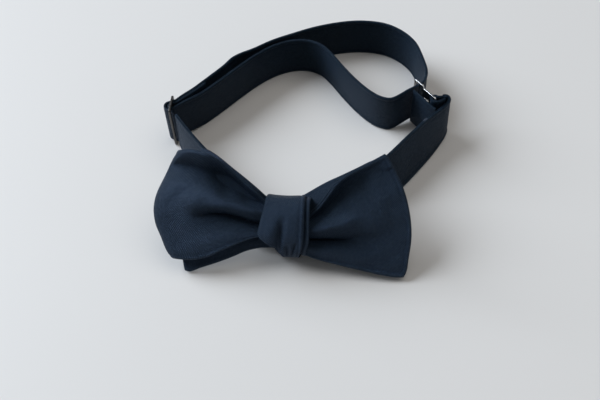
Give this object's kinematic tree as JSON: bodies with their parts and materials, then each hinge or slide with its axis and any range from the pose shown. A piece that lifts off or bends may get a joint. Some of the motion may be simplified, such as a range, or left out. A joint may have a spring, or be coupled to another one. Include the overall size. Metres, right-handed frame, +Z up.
{
  "type": "bow tie",
  "caption": "Hand-tied cloth bow tie on a narrow neckband, with a metal slider that sets its length and a hook and eye that open it.",
  "frame": {"origin": "on the ground, under the middle of the whole bow tie", "axes": "+X along the bow to the wearer's left end, +Y from the bow to the back of the neckband, +Z up"},
  "size_m": [0.1404, 0.1504, 0.0448],
  "materials": {
    "bow_twill": "fine matt twill",
    "band_twill": "fine matt twill",
    "stiffener": "woven interlining",
    "gunmetal": "dark plated",
    "hook_chrome": "bright plated"
  },
  "bodies": {
    "bow_and_band": {"front_left_loop": "bow_twill", "front_right_end": "bow_twill", "back_left_end": "bow_twill", "back_right_loop": "bow_twill", "knot_wrap": "bow_twill", "knot_under_turn": "bow_twill", "gathered_waist": "bow_twill", "left_strap": "band_twill", "right_strap": "band_twill", "band_outer_run": "band_twill", "band_inner_run": "band_twill", "strap_end_fold": "band_twill", "hook_guard": "band_twill", "front_left_loop_stiffener": "stiffener", "front_right_end_stiffener": "stiffener", "back_left_end_stiffener": "stiffener", "back_right_loop_stiffener": "stiffener", "left_strap_stiffener": "stiffener", "right_strap_stiffener": "stiffener"},
    "slider": {"slider_frame": "gunmetal"},
    "hook": {"hook_plate": "hook_chrome"},
    "eye": {"eye_plate": "hook_chrome"}
  },
  "joints": [
    {"name": "slider_turn", "type": "hinge", "parent": "bow_and_band", "child": "slider", "pos_m": [-0.0665, 0.00779, 0.0125], "axis": [0, 0, 1], "range_deg": [-7, 7]},
    {"name": "hook_swing", "type": "hinge", "parent": "bow_and_band", "child": "hook", "pos_m": [0.05301, 0.02864, 0.0125], "axis": [0, 0, 1], "range_deg": [0, 45]},
    {"name": "eye_swing", "type": "hinge", "parent": "bow_and_band", "child": "eye", "pos_m": [0.06206, 0.01614, 0.0125], "axis": [0, 0, 1], "range_deg": [0, 12]}
  ]
}
